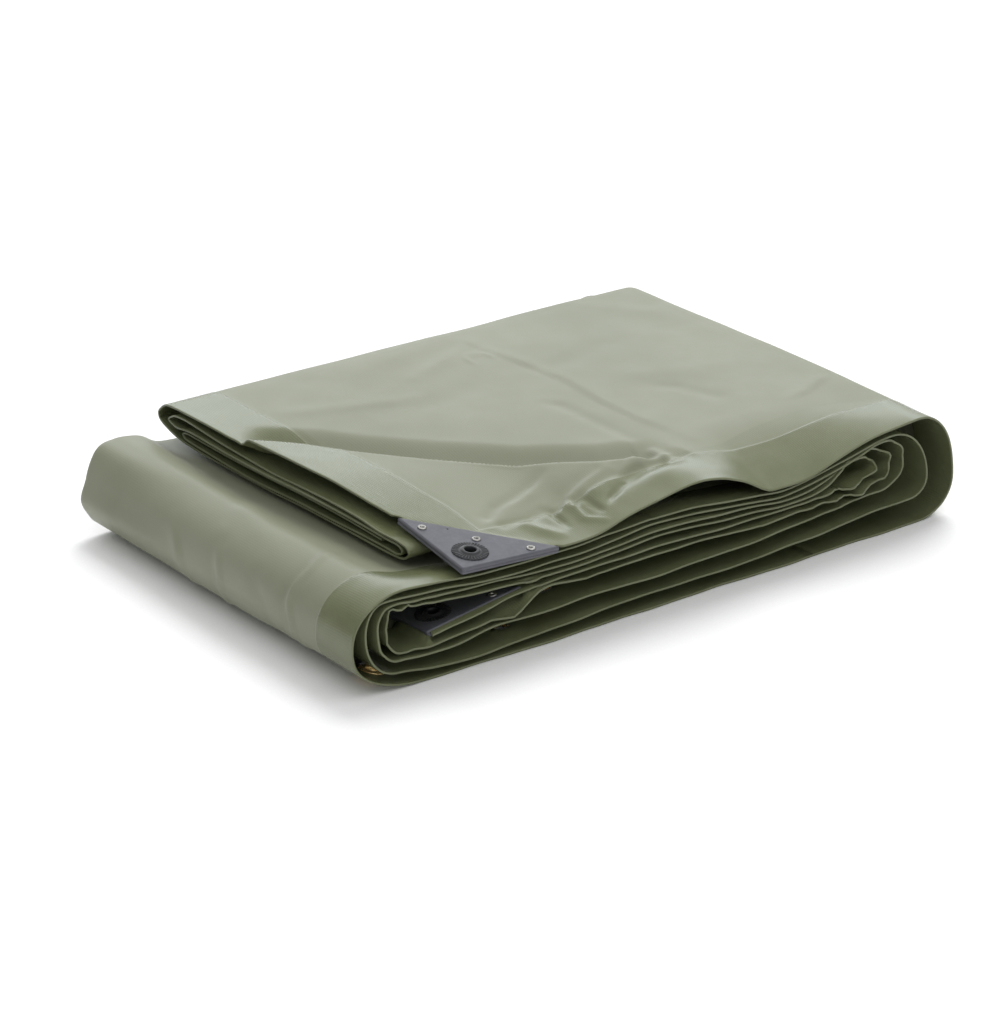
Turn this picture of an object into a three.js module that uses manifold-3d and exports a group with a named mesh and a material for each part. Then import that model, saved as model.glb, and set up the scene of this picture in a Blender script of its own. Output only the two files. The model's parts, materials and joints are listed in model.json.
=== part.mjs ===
// A folded tarpaulin of coated cloth. One end of the sheet is rolled flat, round and round, into
// a low pack, and the outermost panel, which is pleated at the back, lies on top. Its front left
// corner is lifted as a flap. Two corners carry moulded plates, and the hem carries brass eyelets.
//
// Millimetres, +Z up, +X along the pack, +Y to its back. All sizes below are in the pack frame:
// x from the left end, y from the front edge, z from the floor. The group is centred at the end.
import * as THREE from 'three';
import { mergeVertices } from 'three/addons/utils/BufferGeometryUtils.js';
import Module from 'manifold-3d';

const wasm = await Module();
wasm.setup();

// Cloth
const PANEL = 1.3;
const HEM = 2.1;
const HEM_WIDTH = 57;
const HEM_STEP = 2;
const CLEARANCE = 0.3;

// Rows of the sheet from its front edge to its back edge, as distances on a 480 mm wide pack
const PACK_DEPTH = 480;
const ROWS = [0, HEM_WIDTH, HEM_WIDTH + HEM_STEP, 100, 150, 205, 265, 330, 400, PACK_DEPTH];

// The flat turns of the roll, from the outside in. reach is the turn's far end and tip its height
// there. The turn's upper half starts at topX, topZ and its lower half ends at lowX, lowZ.
const TURNS = {
  right1: { side: 1, reach: 737, tip: 42, topX: 688, topZ: 109, lowX: 690, lowZ: 0 },
  left1: { side: -1, reach: 3.5, tip: 42, topX: 62, topZ: 93, lowX: 88, lowZ: 0 },
  right2: { side: 1, reach: 702, tip: 47, topX: 655, topZ: 99.5, lowX: 676, lowZ: 26.5 },
  left2: { side: -1, reach: 18, tip: 54, topX: 42, topZ: 86, lowX: 58, lowZ: 13.5 },
  right3: { side: 1, reach: 671, tip: 72, topX: 640, topZ: 96, lowX: 632, lowZ: 44.5 },
  left3: { side: -1, reach: 30, tip: 54, topX: 46, topZ: 80.5, lowX: 55, lowZ: 27.5 },
  right4: { side: 1, reach: 652, tip: 71, topX: 622, topZ: 92, lowX: 603, lowZ: 49.5 },
  left4: { side: -1, reach: 40, tip: 52, topX: 53, topZ: 75, lowX: 67, lowZ: 31.5 },
  right5: { side: 1, reach: 633, tip: 75, topX: 598, topZ: 87, lowX: 592, lowZ: 59.5 },
};
const TURN_ANGLES = [90, 62, 34, 0, -47, -72, -90];
const TURN_POWER = 0.91;

// The runs between the turns: heights of the sheet's outer face at the stations along the pack
const STATIONS = [92, 150, 199, 262, 362, 477, 515, 567];
const RUNS = {
  floor: [0, 0, 0, 0, 0, 0, 0, 0],
  outerTop: [91, 87, 84.5, 83.5, 89, 82, 77.5, 85],
  secondLow: [9.5, 8.5, 10, 12.5, 14.5, 16.5, 18.5, 20.5],
  secondTop: [84, 80, 77.5, 77, 83, 75.5, 72, 79.5],
  thirdLow: [24, 24, 27, 30, 31.5, 34, 36, 38.5],
  thirdTop: [78.5, 74.5, 72, 71.5, 76.5, 70, 67, 74],
  fourthLow: [30.5, 37, 43.5, 48, 51, 48.8, 49.5, 50],
  fourthTop: [73, 69.2, 66.8, 66.2, 70, 64.5, 62, 68.5],
  innerEnd: [38.7, 47.8, 55.2, 59, 58, 56, 56.3, 58.5],
};

// How the cover of the pleats presses the roll down, from the front to the back
const PRESS = [
  { y: 0, middle: 1, left: 1 },
  { y: 20, middle: 1, left: 1 },
  { y: 75, middle: 0.87, left: 0.97 },
  { y: 170, middle: 0.83, left: 0.95 },
  { y: 300, middle: 0.78, left: 0.93 },
  { y: 400, middle: 0.77, left: 0.93 },
  { y: 520, middle: 0.78, left: 0.93 },
];

// The top panel: heights along its left edge and along its front edge
const TOP_LEFT = [
  { y: 2.7, z: 97.4 }, { y: 112, z: 110.3 }, { y: 150, z: 114.5 }, { y: 195, z: 118 },
  { y: 250, z: 119.5 }, { y: 300, z: 118.5 }, { y: 480, z: 118.5 },
];
const TOP_FRONT = [
  { x: 122.4, z: 97.4 }, { x: 237.4, z: 92.9 }, { x: 287, z: 95.5 }, { x: 310, z: 100.5 },
  { x: 358, z: 106.5 }, { x: 407, z: 111.5 }, { x: 432, z: 108 }, { x: 460, z: 98 },
  { x: 496, z: 81 }, { x: 534, z: 82 }, { x: 571, z: 90.5 }, { x: 624, z: 101.5 }, { x: 688, z: 109 },
];
const TOP_EDGE = [{ y: 0, x: 125.6 }, { y: 110, x: 129.4 }, { y: 150, x: 125 }, { y: 370, x: 112.5 }];
const TOP_COLUMNS = [169, 171, 205, 240, 287, 330, 370, 407, 435, 462, 496, 534, 560, 600, 645];
const PLEAT_END_COLUMN = 13;
const PLATEAU = { left: 111.5, middle: 115.5, right: 112 };
const RIDGE = { fromX: 112, fromY: 299, toX: 419, toY: 55, bow: 27, top: 118.5, fall: 45 };
const VALLEY = { behind: 58, width: 30, depth: 8 };
const FRONT_FALL = 130;

// The back edge of the top panel: how far its fold reaches, and its curl beyond the pleats
const FOLD_DEPTH = 38;
const CURL_STRIPS = 3;
const CURL = [{ out: 0.79, down: 7 }, { out: 0.97, down: 15 }, { out: 0.92, down: 21 }];

// The pleats under the top panel, as one line from its back edge: distance from the front, height
const PLEATS = [
  { fold: 'back', line: [[494, 105], [501, 97], [499, 91], [480, 83], [456, 78.5]] },
  { fold: 'bottom', line: [[400, 75.5], [300, 75.8], [249, 78.2], [173, 80], [95, 81.6]] },
  { fold: 'front', line: [[79, 84], [71, 91], [74, 97], [86, 99.5]] },
  { fold: 'second', line: [[118, 99.6], [154, 102.5], [249, 101], [305, 99], [372, 100.5], [456, 105]] },
  { fold: 'second back', line: [[472, 102.5], [481, 95.5], [467, 91]] },
  { fold: 'third', line: [[441, 93.5], [372, 93], [305, 93.6], [249, 95.4], [173, 96], [106, 94.6]] },
  { fold: 'third front', line: [[88, 94.2], [83, 90.8], [89, 87.6]] },
  { fold: 'fourth', line: [[110, 87], [173, 85.8], [249, 84], [305, 81.8], [372, 81.5], [440, 83.6]] },
  { fold: 'fourth back', line: [[451, 84.6], [456, 87], [450, 89]] },
  { fold: 'fifth', line: [[430, 89], [372, 88], [305, 88.6], [249, 90], [173, 90.4], [116, 89.6]] },
];

// Corner plates: two leaves of a moulding with the cloth's corner between them
const PLATE = { leg: 111, thick: 7.2, slot: 2.7, rim: 3, nose: 4 };
const PLATE_HOLE = 9.5;
const RING = { hole: 5.6, collar: 8.6, rise: 1.1, toothTip: 17.5, toothRoot: 15.5, teeth: 24, flange: 1.2 };
const ROUND = { ring: 20, eyelet: 18, rivet: 10 };
const BORE = 7;
const RIVET = { hole: 1.6, shank: 2.3, head: 4.4, proud: 0.9 };
const RIVET_SPOTS = [
  { along: 10, back: 82 },
  { along: 44, back: 43 },
  { along: 81, back: 8 },
];
const RING_SPOT = { along: 25, back: 25 };

// Eyelets: a rolled flange on each face of the hem
const EYELET = { hole: 6.2, neck: 7.2, flange: 13, leaf: 1.0, grip: 2.7 };

const COLOURS = { cloth: 0x7f8569, plate: 0x4a4d55, ring: 0x24262a, steel: 0xb9b8b2, brass: 0xc9a25a };

const clamp01 = (v) => Math.min(1, Math.max(0, v));
const mix = (a, b, t) => a + (b - a) * t;
const smooth = (from, to, v) => {
  const t = clamp01((v - from) / (to - from));
  return t * t * (3 - 2 * t);
};

// Straight lines through the rows of a table
function lookUp(rows, key, value, at) {
  let next = rows.findIndex((row) => row[key] >= at);
  if (next === -1) next = rows.length - 1;
  if (next === 0) return rows[0][value];
  const a = rows[next - 1];
  const b = rows[next];
  return mix(a[value], b[value], clamp01((at - a[key]) / (b[key] - a[key])));
}

// One turn as a half of a flattened round, from its top to its bottom
function turnLine(turn) {
  const line = TURN_ANGLES.map((angle) => {
    const a = THREE.MathUtils.degToRad(angle);
    const out = Math.abs(Math.cos(a)) ** TURN_POWER;
    const up = Math.abs(Math.sin(a)) ** TURN_POWER;
    const [startX, endZ] = angle > 0 ? [turn.topX, turn.topZ] : [turn.lowX, turn.lowZ];
    return [mix(startX, turn.reach, out), mix(turn.tip, endZ, up)];
  });
  return turn.side > 0 ? line : line.reverse();
}

// One run as the stations that lie between the two turns it joins
function runLine(heights, fromX, toX) {
  const points = STATIONS.map((x, i) => [x, heights[i]]);
  if (fromX > toX) points.reverse();
  const gap = 8;
  const low = Math.min(fromX, toX) + gap;
  const high = Math.max(fromX, toX) - gap;
  return points.filter(([x]) => x > low && x < high);
}

// The roll's section, from the start of the first right turn to the inner end of the sheet
function rollSection() {
  const t = TURNS;
  return [
    ...turnLine(t.right1), ...runLine(RUNS.floor, t.right1.lowX, t.left1.lowX),
    ...turnLine(t.left1), ...runLine(RUNS.outerTop, t.left1.topX, t.right2.topX),
    ...turnLine(t.right2), ...runLine(RUNS.secondLow, t.right2.lowX, t.left2.lowX),
    ...turnLine(t.left2), ...runLine(RUNS.secondTop, t.left2.topX, t.right3.topX),
    ...turnLine(t.right3), ...runLine(RUNS.thirdLow, t.right3.lowX, t.left3.lowX),
    ...turnLine(t.left3), ...runLine(RUNS.thirdTop, t.left3.topX, t.right4.topX),
    ...turnLine(t.right4), ...runLine(RUNS.fourthLow, t.right4.lowX, t.left4.lowX),
    ...turnLine(t.left4), ...runLine(RUNS.fourthTop, t.left4.topX, t.right5.topX),
    ...turnLine(t.right5), ...runLine(RUNS.innerEnd, t.right5.lowX, 0),
  ];
}

// The roll's front edges lean back a little, and its lower right edge draws in
const frontOfRoll = (x, z) => 2 + (9 * z) / 95 + 5 * smooth(450, 640, x) * (1 - z / 110);
const backOfRoll = (x, z) => 466 + (20 * z) / 90 + 6 * Math.sin(x / 90) + 10 * smooth(500, 700, x);

// A point of the roll: its section pressed under the pleats, with a beak at the left back
function rollPoint([x, z], y) {
  const middle = lookUp(PRESS, 'y', 'middle', y);
  const left = lookUp(PRESS, 'y', 'left', y);
  const right = 1 + (0.028 * y) / PACK_DEPTH;
  const press = mix(mix(left, middle, smooth(50, 105, x)), right, smooth(565, 645, x));
  const height = z * press;
  const nearLeft = 1 - smooth(20, 135, x);
  const toBack = smooth(180, 470, y);
  const beak = 7 * toBack * smooth(34, 58, height) * nearLeft;
  const heel = 11 * smooth(60, 200, y) * (1 - smooth(0, 26, height)) * (1 - smooth(15, 88, x));
  const bulge = 5 * Math.sin(Math.PI * clamp01(y / PACK_DEPTH)) * smooth(610, 700, x);
  return new THREE.Vector3(x + beak - heel + bulge, y, height);
}

function rollStrip([x, z]) {
  const front = frontOfRoll(x, z);
  const back = backOfRoll(x, z);
  return ROWS.map((row) => rollPoint([x, z], mix(front, back, row / PACK_DEPTH)));
}

// The top panel's edges in plan
const leftOfTop = (y) => lookUp(TOP_EDGE, 'y', 'x', y);
const frontOfTop = (x) => 6 - 4.2 * clamp01((x - 125) / 115) + 8.9 * smooth(250, 400, x)
  - 6 * smooth(430, 500, x) + 6.3 * smooth(540, 640, x);
const backOfTop = (x) => mix(502, 499, clamp01((x - 112) / 576));

// The top panel's height: a plateau, the flap's ridge with a valley behind it, and the flap
// falling to its front left corner. The front edge has its own line of heights.
function topHeight(x, y) {
  const { fromX, fromY, toX, toY, bow, top, fall } = RIDGE;
  const length = Math.hypot(toX - fromX, toY - fromY);
  const ux = (toX - fromX) / length;
  const uy = (toY - fromY) / length;
  const along = ((x - fromX) * ux + (y - fromY) * uy) / length;
  const straight = -(x - fromX) * uy + (y - fromY) * ux;
  const behind = straight + bow * Math.sin(Math.PI * clamp01(along));

  const rightPart = smooth(400, 688, x);
  const plain = mix(mix(PLATEAU.left, PLATEAU.middle, smooth(112, 400, x)), PLATEAU.right, rightPart);
  const valley = VALLEY.depth * Math.exp(-(((behind - VALLEY.behind) / VALLEY.width) ** 2));
  const back = plain - valley * (1 - smooth(0.55, 1, along));

  const edge = lookUp(TOP_FRONT, 'x', 'z', x);
  const corner = TOP_FRONT[0].z;
  const flap = Math.min(top, lookUp(TOP_LEFT, 'y', 'z', y) + edge - corner);
  const flapPart = mix(back, flap, 1 - smooth(0, fall, behind));
  const frontPart = mix(edge, back, smooth(0, FRONT_FALL, y));
  const height = mix(flapPart, frontPart, smooth(350, 450, x));
  const turnTop = TURNS.right1.topZ * (1 + (0.028 * y) / PACK_DEPTH);
  return mix(height, turnTop, smooth(600, 688, x) * smooth(0, 60, y));
}

const columnX = (column, y) => (column === 0 ? leftOfTop(y) : TOP_COLUMNS[column - 1]);

function topStrip(column) {
  const edgeX = columnX(column, PACK_DEPTH);
  const front = frontOfTop(edgeX);
  const back = backOfTop(edgeX) - FOLD_DEPTH;
  return ROWS.map((row) => {
    const y = mix(front, back, row / PACK_DEPTH);
    const x = columnX(column, y);
    return new THREE.Vector3(x, y, topHeight(x, y));
  });
}

// A point of the pleats under a column of the top panel
function pleatPoint(column, [y, z]) {
  const x = columnX(column, PACK_DEPTH);
  const drawn = mix(1, (backOfTop(x) - 70) / (backOfTop(112) - 70), clamp01((y - 70) / 100));
  return new THREE.Vector3(x, 70 + (y - 70) * drawn, z);
}

// Past the pleats the back edge still curls down, less and less around the first right turn
function curledStrip(point, step) {
  const [x, z] = point;
  const fade = step / CURL_STRIPS;
  const front = frontOfRoll(x, z);
  const back = mix(backOfTop(x), backOfRoll(x, z), fade);
  const seam = back - mix(FOLD_DEPTH, 14, fade);
  const strip = ROWS.map((row) => rollPoint(point, mix(front, seam, row / PACK_DEPTH)));
  CURL.forEach(({ out, down }) => {
    const end = rollPoint(point, mix(seam, back, out));
    end.z -= down * (1 - fade);
    strip.push(end);
  });
  return strip;
}

// The sheet as a grid of points on its outer face, with null where there is no cloth
function clothGrid() {
  const pleatLine = PLEATS.flatMap((pleat) => pleat.line);
  const full = ROWS.length + pleatLine.length;
  const grid = [];
  for (let column = 0; column <= TOP_COLUMNS.length; column += 1) {
    const line = column <= PLEAT_END_COLUMN ? pleatLine : pleatLine.slice(0, CURL.length);
    grid.push([...topStrip(column), ...line.map((point) => pleatPoint(column, point))]);
  }
  rollSection().forEach((point, i) => grid.push(i < CURL_STRIPS ? curledStrip(point, i) : rollStrip(point)));
  return grid.map((strip) => [...strip, ...Array(full - strip.length).fill(null)]);
}

// The cloth is thicker in its front hem and in the hem at the top panel's left edge
const clothThickness = (column, row) => (row < 2 || column < 2 ? HEM : PANEL);

// A closed solid from a grid: the outer face, the inner face at its thickness, and the edges
function sheetGeometry(grid, thickness) {
  const full = (i, j) => Boolean(grid[i]?.[j] && grid[i + 1]?.[j] && grid[i][j + 1] && grid[i + 1][j + 1]);
  const ids = new Map();
  const normals = new Map();
  const key = (i, j) => i * 1000 + j;
  const cells = [];
  for (let i = 0; i + 1 < grid.length; i += 1) {
    for (let j = 0; j + 1 < grid[i].length; j += 1) {
      if (!full(i, j)) continue;
      cells.push([i, j]);
      const one = grid[i + 1][j + 1].clone().sub(grid[i][j]);
      const two = grid[i][j + 1].clone().sub(grid[i + 1][j]);
      const normal = one.cross(two).normalize();
      for (const [a, b] of [[i, j], [i + 1, j], [i, j + 1], [i + 1, j + 1]]) {
        if (!normals.has(key(a, b))) normals.set(key(a, b), new THREE.Vector3());
        normals.get(key(a, b)).add(normal);
      }
    }
  }
  const positions = [];
  for (const [k, normal] of normals) {
    const i = Math.floor(k / 1000);
    const j = k % 1000;
    const outer = grid[i][j];
    const inner = outer.clone().addScaledVector(normal.normalize(), -thickness(i, j));
    ids.set(k, positions.length / 3);
    positions.push(...outer.toArray(), ...inner.toArray());
  }
  const index = [];
  const quad = (a, b, c, d) => index.push(a, b, c, a, c, d);
  for (const [i, j] of cells) {
    const corners = [[i, j], [i + 1, j], [i + 1, j + 1], [i, j + 1]];
    const [a, b, c, d] = corners.map(([m, n]) => ids.get(key(m, n)));
    quad(a, b, c, d);
    quad(a + 1, d + 1, c + 1, b + 1);
    if (!full(i, j - 1)) quad(a, a + 1, b + 1, b);
    if (!full(i + 1, j)) quad(b, b + 1, c + 1, c);
    if (!full(i, j + 1)) quad(c, c + 1, d + 1, d);
    if (!full(i - 1, j)) quad(d, d + 1, a + 1, a);
  }
  const geometry = new THREE.BufferGeometry();
  geometry.setAttribute('position', new THREE.Float32BufferAttribute(positions, 3));
  geometry.setIndex(index);
  return geometry;
}

function solid(geometry) {
  const bare = geometry.clone();
  bare.deleteAttribute('normal');
  bare.deleteAttribute('uv');
  const merged = mergeVertices(bare, 1e-4);
  const vertProperties = new Float32Array(merged.attributes.position.array);
  const triVerts = new Uint32Array(merged.index.array);
  return new wasm.Manifold(new wasm.Mesh({ numProp: 3, vertProperties, triVerts }));
}

function geometryOf(body) {
  const mesh = body.getMesh();
  const geometry = new THREE.BufferGeometry();
  geometry.setAttribute('position', new THREE.Float32BufferAttribute(mesh.vertProperties, 3));
  geometry.setIndex([...mesh.triVerts]);
  return geometry;
}

// A round piece along Z from a closed profile of radius and height
function turned(profile, sides) {
  const closed = [...profile, profile[0]].map(([r, z]) => new THREE.Vector2(r, z));
  const geometry = new THREE.LatheGeometry(closed, sides);
  return geometry.rotateX(Math.PI / 2);
}

function rod(radius, height, sides) {
  return new THREE.CylinderGeometry(radius, radius, height, sides).rotateX(Math.PI / 2);
}

// A flat piece from an outline, centred on its thickness
function plateOf(outline, thick) {
  const shape = new THREE.Shape(outline.map(([x, y]) => new THREE.Vector2(x, y)));
  const geometry = new THREE.ExtrudeGeometry(shape, { depth: thick, bevelEnabled: false });
  return geometry.translate(0, 0, -thick / 2);
}

// A right triangle with its legs set in by rim, and its long side moved out by over
function triangle(leg, rim, over, nose) {
  const far = leg + over * Math.SQRT2;
  const low = rim;
  if (nose === 0) return [[low, low], [far - low, low], [low, far - low]];
  return [
    [low + 1, low], [far - low - nose, low], [far - low - nose, low + nose * 0.35],
    [low + nose * 0.35, far - low - nose], [low, far - low - nose], [low, low + 1],
  ];
}

const spotMatrix = (spot) => new THREE.Matrix4().makeTranslation(spot.along, spot.back, 0);

function rivetProfile(gap) {
  const half = PLATE.thick / 2;
  const { hole, shank, head, proud } = RIVET;
  if (gap) return [[0, -BORE], [shank + gap, -BORE], [shank + gap, BORE], [0, BORE]];
  const seat = half + CLEARANCE;
  return [
    [hole, -seat - proud], [head, -seat - proud * 0.5], [head, -seat],
    [shank, -seat], [shank, seat], [head, seat], [head, seat + proud * 0.5],
    [hole, seat + proud],
  ];
}

// The ring in the plate's hole: a toothed flange on top, a collar round the hole, a flange below
function ringSolid() {
  const seat = PLATE.thick / 2 + CLEARANCE;
  const neck = PLATE_HOLE - CLEARANCE;
  const body = turned([
    [RING.hole, -seat - RING.flange], [RING.toothRoot - 2, -seat - RING.flange], [RING.toothRoot - 2, -seat],
    [neck, -seat], [neck, seat + 0.4], [RING.collar, seat + RING.flange + RING.rise],
    [RING.hole, seat + RING.flange + RING.rise],
  ], ROUND.ring);
  const teeth = [];
  for (let i = 0; i < RING.teeth * 2; i += 1) {
    const radius = i % 2 === 0 ? RING.toothTip : RING.toothRoot;
    const angle = (i * Math.PI) / RING.teeth;
    teeth.push([radius * Math.cos(angle), radius * Math.sin(angle)]);
  }
  const flange = plateOf(teeth, RING.flange).translate(0, 0, seat + RING.flange / 2);
  const bore = solid(rod(RING.collar - 0.8, 4 * BORE, ROUND.ring));
  return solid(flange).subtract(bore).add(solid(body));
}

const part = new THREE.Group();

function finish(color, roughness, metalness) {
  return new THREE.MeshStandardMaterial({ color, roughness, metalness });
}

function addMesh(name, geometry, material) {
  const mesh = new THREE.Mesh(geometry, material);
  mesh.name = name;
  part.add(mesh);
}

const place = (geometry, matrix) => geometry.clone().applyMatrix4(matrix);

// A corner plate with its ring and rivets. It takes the cloth's corner between its leaves.
function fitCorner(cloth, number, matrix) {
  const outline = triangle(PLATE.leg, 0, 0, PLATE.nose);
  const grown = triangle(PLATE.leg + 2 * CLEARANCE, -CLEARANCE, CLEARANCE, 0);
  const room = solid(place(plateOf(grown, PLATE.thick + 2 * CLEARANCE), matrix));
  const tongue = solid(place(plateOf(triangle(PLATE.leg, PLATE.rim + CLEARANCE, 5, 0), HEM), matrix));
  const ringBore = rod(PLATE_HOLE + CLEARANCE, 2 * BORE, ROUND.ring).applyMatrix4(spotMatrix(RING_SPOT));
  let left = cloth.subtract(room).add(tongue).subtract(solid(place(ringBore, matrix)));

  const slot = solid(plateOf(triangle(PLATE.leg, PLATE.rim, 20, 0), PLATE.slot));
  let plate = solid(plateOf(outline, PLATE.thick)).subtract(slot);
  plate = plate.subtract(solid(rod(PLATE_HOLE, 2 * BORE, ROUND.ring).applyMatrix4(spotMatrix(RING_SPOT))));
  RIVET_SPOTS.forEach((spot, i) => {
    const bore = turned(rivetProfile(CLEARANCE), ROUND.rivet).applyMatrix4(spotMatrix(spot));
    plate = plate.subtract(solid(bore));
    left = left.subtract(solid(place(bore, matrix)));
    const rivet = turned(rivetProfile(0), ROUND.rivet).applyMatrix4(spotMatrix(spot));
    const name = `corner_rivet_${number}_${i + 1}`;
    addMesh(name, geometryOf(solid(place(rivet, matrix))), finish(COLOURS.steel, 0.3, 1));
  });
  addMesh(`corner_plate_${number}`, place(geometryOf(plate), matrix), finish(COLOURS.plate, 0.5, 0));
  const ring = place(geometryOf(ringSolid()), spotMatrix(RING_SPOT));
  addMesh(`corner_ring_${number}`, place(ring, matrix), finish(COLOURS.ring, 0.4, 0));
  return left;
}

// An eyelet, gripping the cloth between its flanges
function eyeletProfile(grow) {
  const { hole, neck, flange, leaf, grip } = EYELET;
  const mid = grip / 2;
  const deep = mid + 2 * leaf;
  if (grow) {
    return [
      [0, -deep], [flange + grow, -deep], [flange + grow, -mid + grow], [neck + grow, -mid + grow],
      [neck + grow, mid - grow], [flange + grow, mid - grow], [flange + grow, deep], [0, deep],
    ];
  }
  return [
    [hole, -mid - leaf], [flange - 1.6, -mid - leaf], [flange, -mid],
    [neck, -mid], [neck, mid], [flange, mid], [flange - 1.6, mid + leaf],
    [hole, mid + leaf],
  ];
}

function fitEyelet(cloth, number, matrix) {
  const geometry = place(turned(eyeletProfile(0), ROUND.eyelet), matrix);
  addMesh(`eyelet_${number}`, geometry, finish(COLOURS.brass, 0.3, 1));
  return cloth.subtract(solid(place(turned(eyeletProfile(CLEARANCE), ROUND.eyelet), matrix)));
}

// A frame on a face: its origin, the way to its right and the way to its back
function faceFrame(origin, right, back) {
  const x = new THREE.Vector3(...right).normalize();
  const up = x.clone().cross(new THREE.Vector3(...back)).normalize();
  const y = up.clone().cross(x);
  return new THREE.Matrix4().makeBasis(x, y, up).setPosition(...origin);
}

// The first plate lies on the lifted flap and falls to the front and to the right
const firstCorner = faceFrame([122.4, 2.7, 97.4 - HEM / 2], [111.6, -4.05, -4.9], [4, 112.1, 13.1]);
// The second plate lies inside the left turns and rises to the right
const secondCorner = faceFrame([90, 12, 39.5], [109, 0, 17], [0, 1, -0.055]);

const EYELET_FRAMES = [
  faceFrame([44, 36, 7.2], [30.6, 0, -8.5], [0, 1, 0]),
  faceFrame([191, 36, 10.4], [1, 0, 0.03], [0, 1, -0.023]),
  faceFrame([249, 46, 28.7], [1, 0, 0.045], [0, 1, -0.069]),
];

let cloth = solid(sheetGeometry(clothGrid(), clothThickness));
cloth = fitCorner(cloth, 1, firstCorner);
cloth = fitCorner(cloth, 2, secondCorner);
EYELET_FRAMES.forEach((matrix, i) => {
  cloth = fitEyelet(cloth, i + 1, matrix);
});
addMesh('tarp_cloth', geometryOf(cloth), finish(COLOURS.cloth, 0.45, 0));

const bounds = new THREE.Box3().setFromObject(part);
part.position.set(-(bounds.min.x + bounds.max.x) / 2, -(bounds.min.y + bounds.max.y) / 2, 0);
part.updateMatrixWorld(true);

export default part;
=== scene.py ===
import json
import math

import bpy
import numpy as np
from mathutils import Matrix, Vector
from mathutils.geometry import tessellate_polygon

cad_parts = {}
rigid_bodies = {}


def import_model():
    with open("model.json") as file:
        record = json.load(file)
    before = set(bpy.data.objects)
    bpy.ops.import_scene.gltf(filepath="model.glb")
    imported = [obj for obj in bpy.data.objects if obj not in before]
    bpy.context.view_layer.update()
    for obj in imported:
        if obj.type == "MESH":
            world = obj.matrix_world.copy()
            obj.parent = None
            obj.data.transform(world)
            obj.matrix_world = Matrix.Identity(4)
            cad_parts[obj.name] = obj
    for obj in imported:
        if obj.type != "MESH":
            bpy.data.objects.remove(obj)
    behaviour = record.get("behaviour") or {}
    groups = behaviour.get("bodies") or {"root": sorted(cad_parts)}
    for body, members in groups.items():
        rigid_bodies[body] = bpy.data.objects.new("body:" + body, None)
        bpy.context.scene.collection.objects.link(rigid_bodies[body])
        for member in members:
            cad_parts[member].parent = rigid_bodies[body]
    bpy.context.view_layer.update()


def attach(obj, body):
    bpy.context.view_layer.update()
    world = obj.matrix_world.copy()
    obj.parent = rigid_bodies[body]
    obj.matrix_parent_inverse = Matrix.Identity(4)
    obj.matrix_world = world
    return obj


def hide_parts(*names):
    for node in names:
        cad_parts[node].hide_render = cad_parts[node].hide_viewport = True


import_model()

# The part's sizes are millimetres in the pack frame: x from the left, y from the front edge, z up.
# SHIFT takes that frame to the row frame.
SHIFT = (372.716, 250.325, 0.0)


def to_row(points):
    return (np.asarray(points, float) - SHIFT) / 1000.0


# Camera and light
EYE = (-1706.1, -2480.7, 1465.7)
EYE_RIGHT = Vector((0.79927, -0.60097, 0.00218)).normalized()
EYE_UP = Vector((0.23234, 0.31235, 0.92111)).normalized()

camera = bpy.data.cameras.new("camera")
camera.lens, camera.sensor_width, camera.clip_end = 133.25, 36, 30
eye = bpy.data.objects.new("camera", camera)
place = Matrix((EYE_RIGHT, EYE_UP, EYE_RIGHT.cross(EYE_UP))).transposed().to_4x4()
place.translation = Vector(to_row(EYE))
eye.matrix_world = place
bpy.context.collection.objects.link(eye)
bpy.context.scene.camera = eye


def put_lamp(name, kind, at, to, **settings):
    data = bpy.data.lights.new(name, kind)
    for key, value in settings.items():
        setattr(data, key, value)
    lamp = bpy.data.objects.new(name, data)
    lamp.location = at
    lamp.rotation_euler = (Vector(to) - Vector(at)).to_track_quat("-Z", "Y").to_euler()
    bpy.context.collection.objects.link(lamp)
    return lamp


put_lamp("soft_top", "SUN", (0.25, 0.1, 2.0), (0, 0, 0), energy=1.32, angle=math.radians(110))
key_light = put_lamp("key", "SUN", (1.0, 0.8, 1.4), (0, 0, 0), energy=1.85, angle=math.radians(32))
key_light.visible_glossy = False
put_lamp("back_box", "AREA", (1.3, 2.1, 0.95), (0, 0, 0.08), shape="RECTANGLE", size=2.4, size_y=0.9,
         energy=15, color=(0.91, 0.96, 1.0))
put_lamp("front_fill", "AREA", (-0.5, -1.7, 0.42), (-0.15, -0.2, 0.03), shape="RECTANGLE", size=0.9,
         size_y=0.3, energy=3.2)

world = bpy.data.worlds.new("studio")
bpy.context.scene.world = world
world.use_nodes = True
background = world.node_tree.nodes["Background"].inputs
background["Color"].default_value = (1, 1, 1, 1)
background["Strength"].default_value = 0.38
bpy.context.scene.view_settings.view_transform = "Standard"


# Materials
def new_material(name):
    material = bpy.data.materials.new(name)
    material.use_nodes = True
    tree = material.node_tree
    coords = tree.nodes.new("ShaderNodeTexCoord")
    return material, tree, tree.nodes["Principled BSDF"], coords.outputs


def set_inputs(node, inputs):
    """Links inputs to other nodes' outputs, or sets them to numbers and colours."""
    for key, value in inputs.items():
        if isinstance(value, bpy.types.NodeSocket):
            node.id_data.links.new(value, node.inputs[key])
        elif value is not None:
            node.inputs[key].default_value = value


def add_node(tree, kind, inputs, **settings):
    node = tree.nodes.new(kind)
    for key, value in settings.items():
        setattr(node, key, value)
    set_inputs(node, inputs)
    return node.outputs


def noise_node(tree, vector, scale, detail=3.0, rough=0.5):
    inputs = {"Vector": vector, "Scale": scale, "Detail": detail, "Roughness": rough}
    return add_node(tree, "ShaderNodeTexNoise", inputs)["Fac"]


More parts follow.
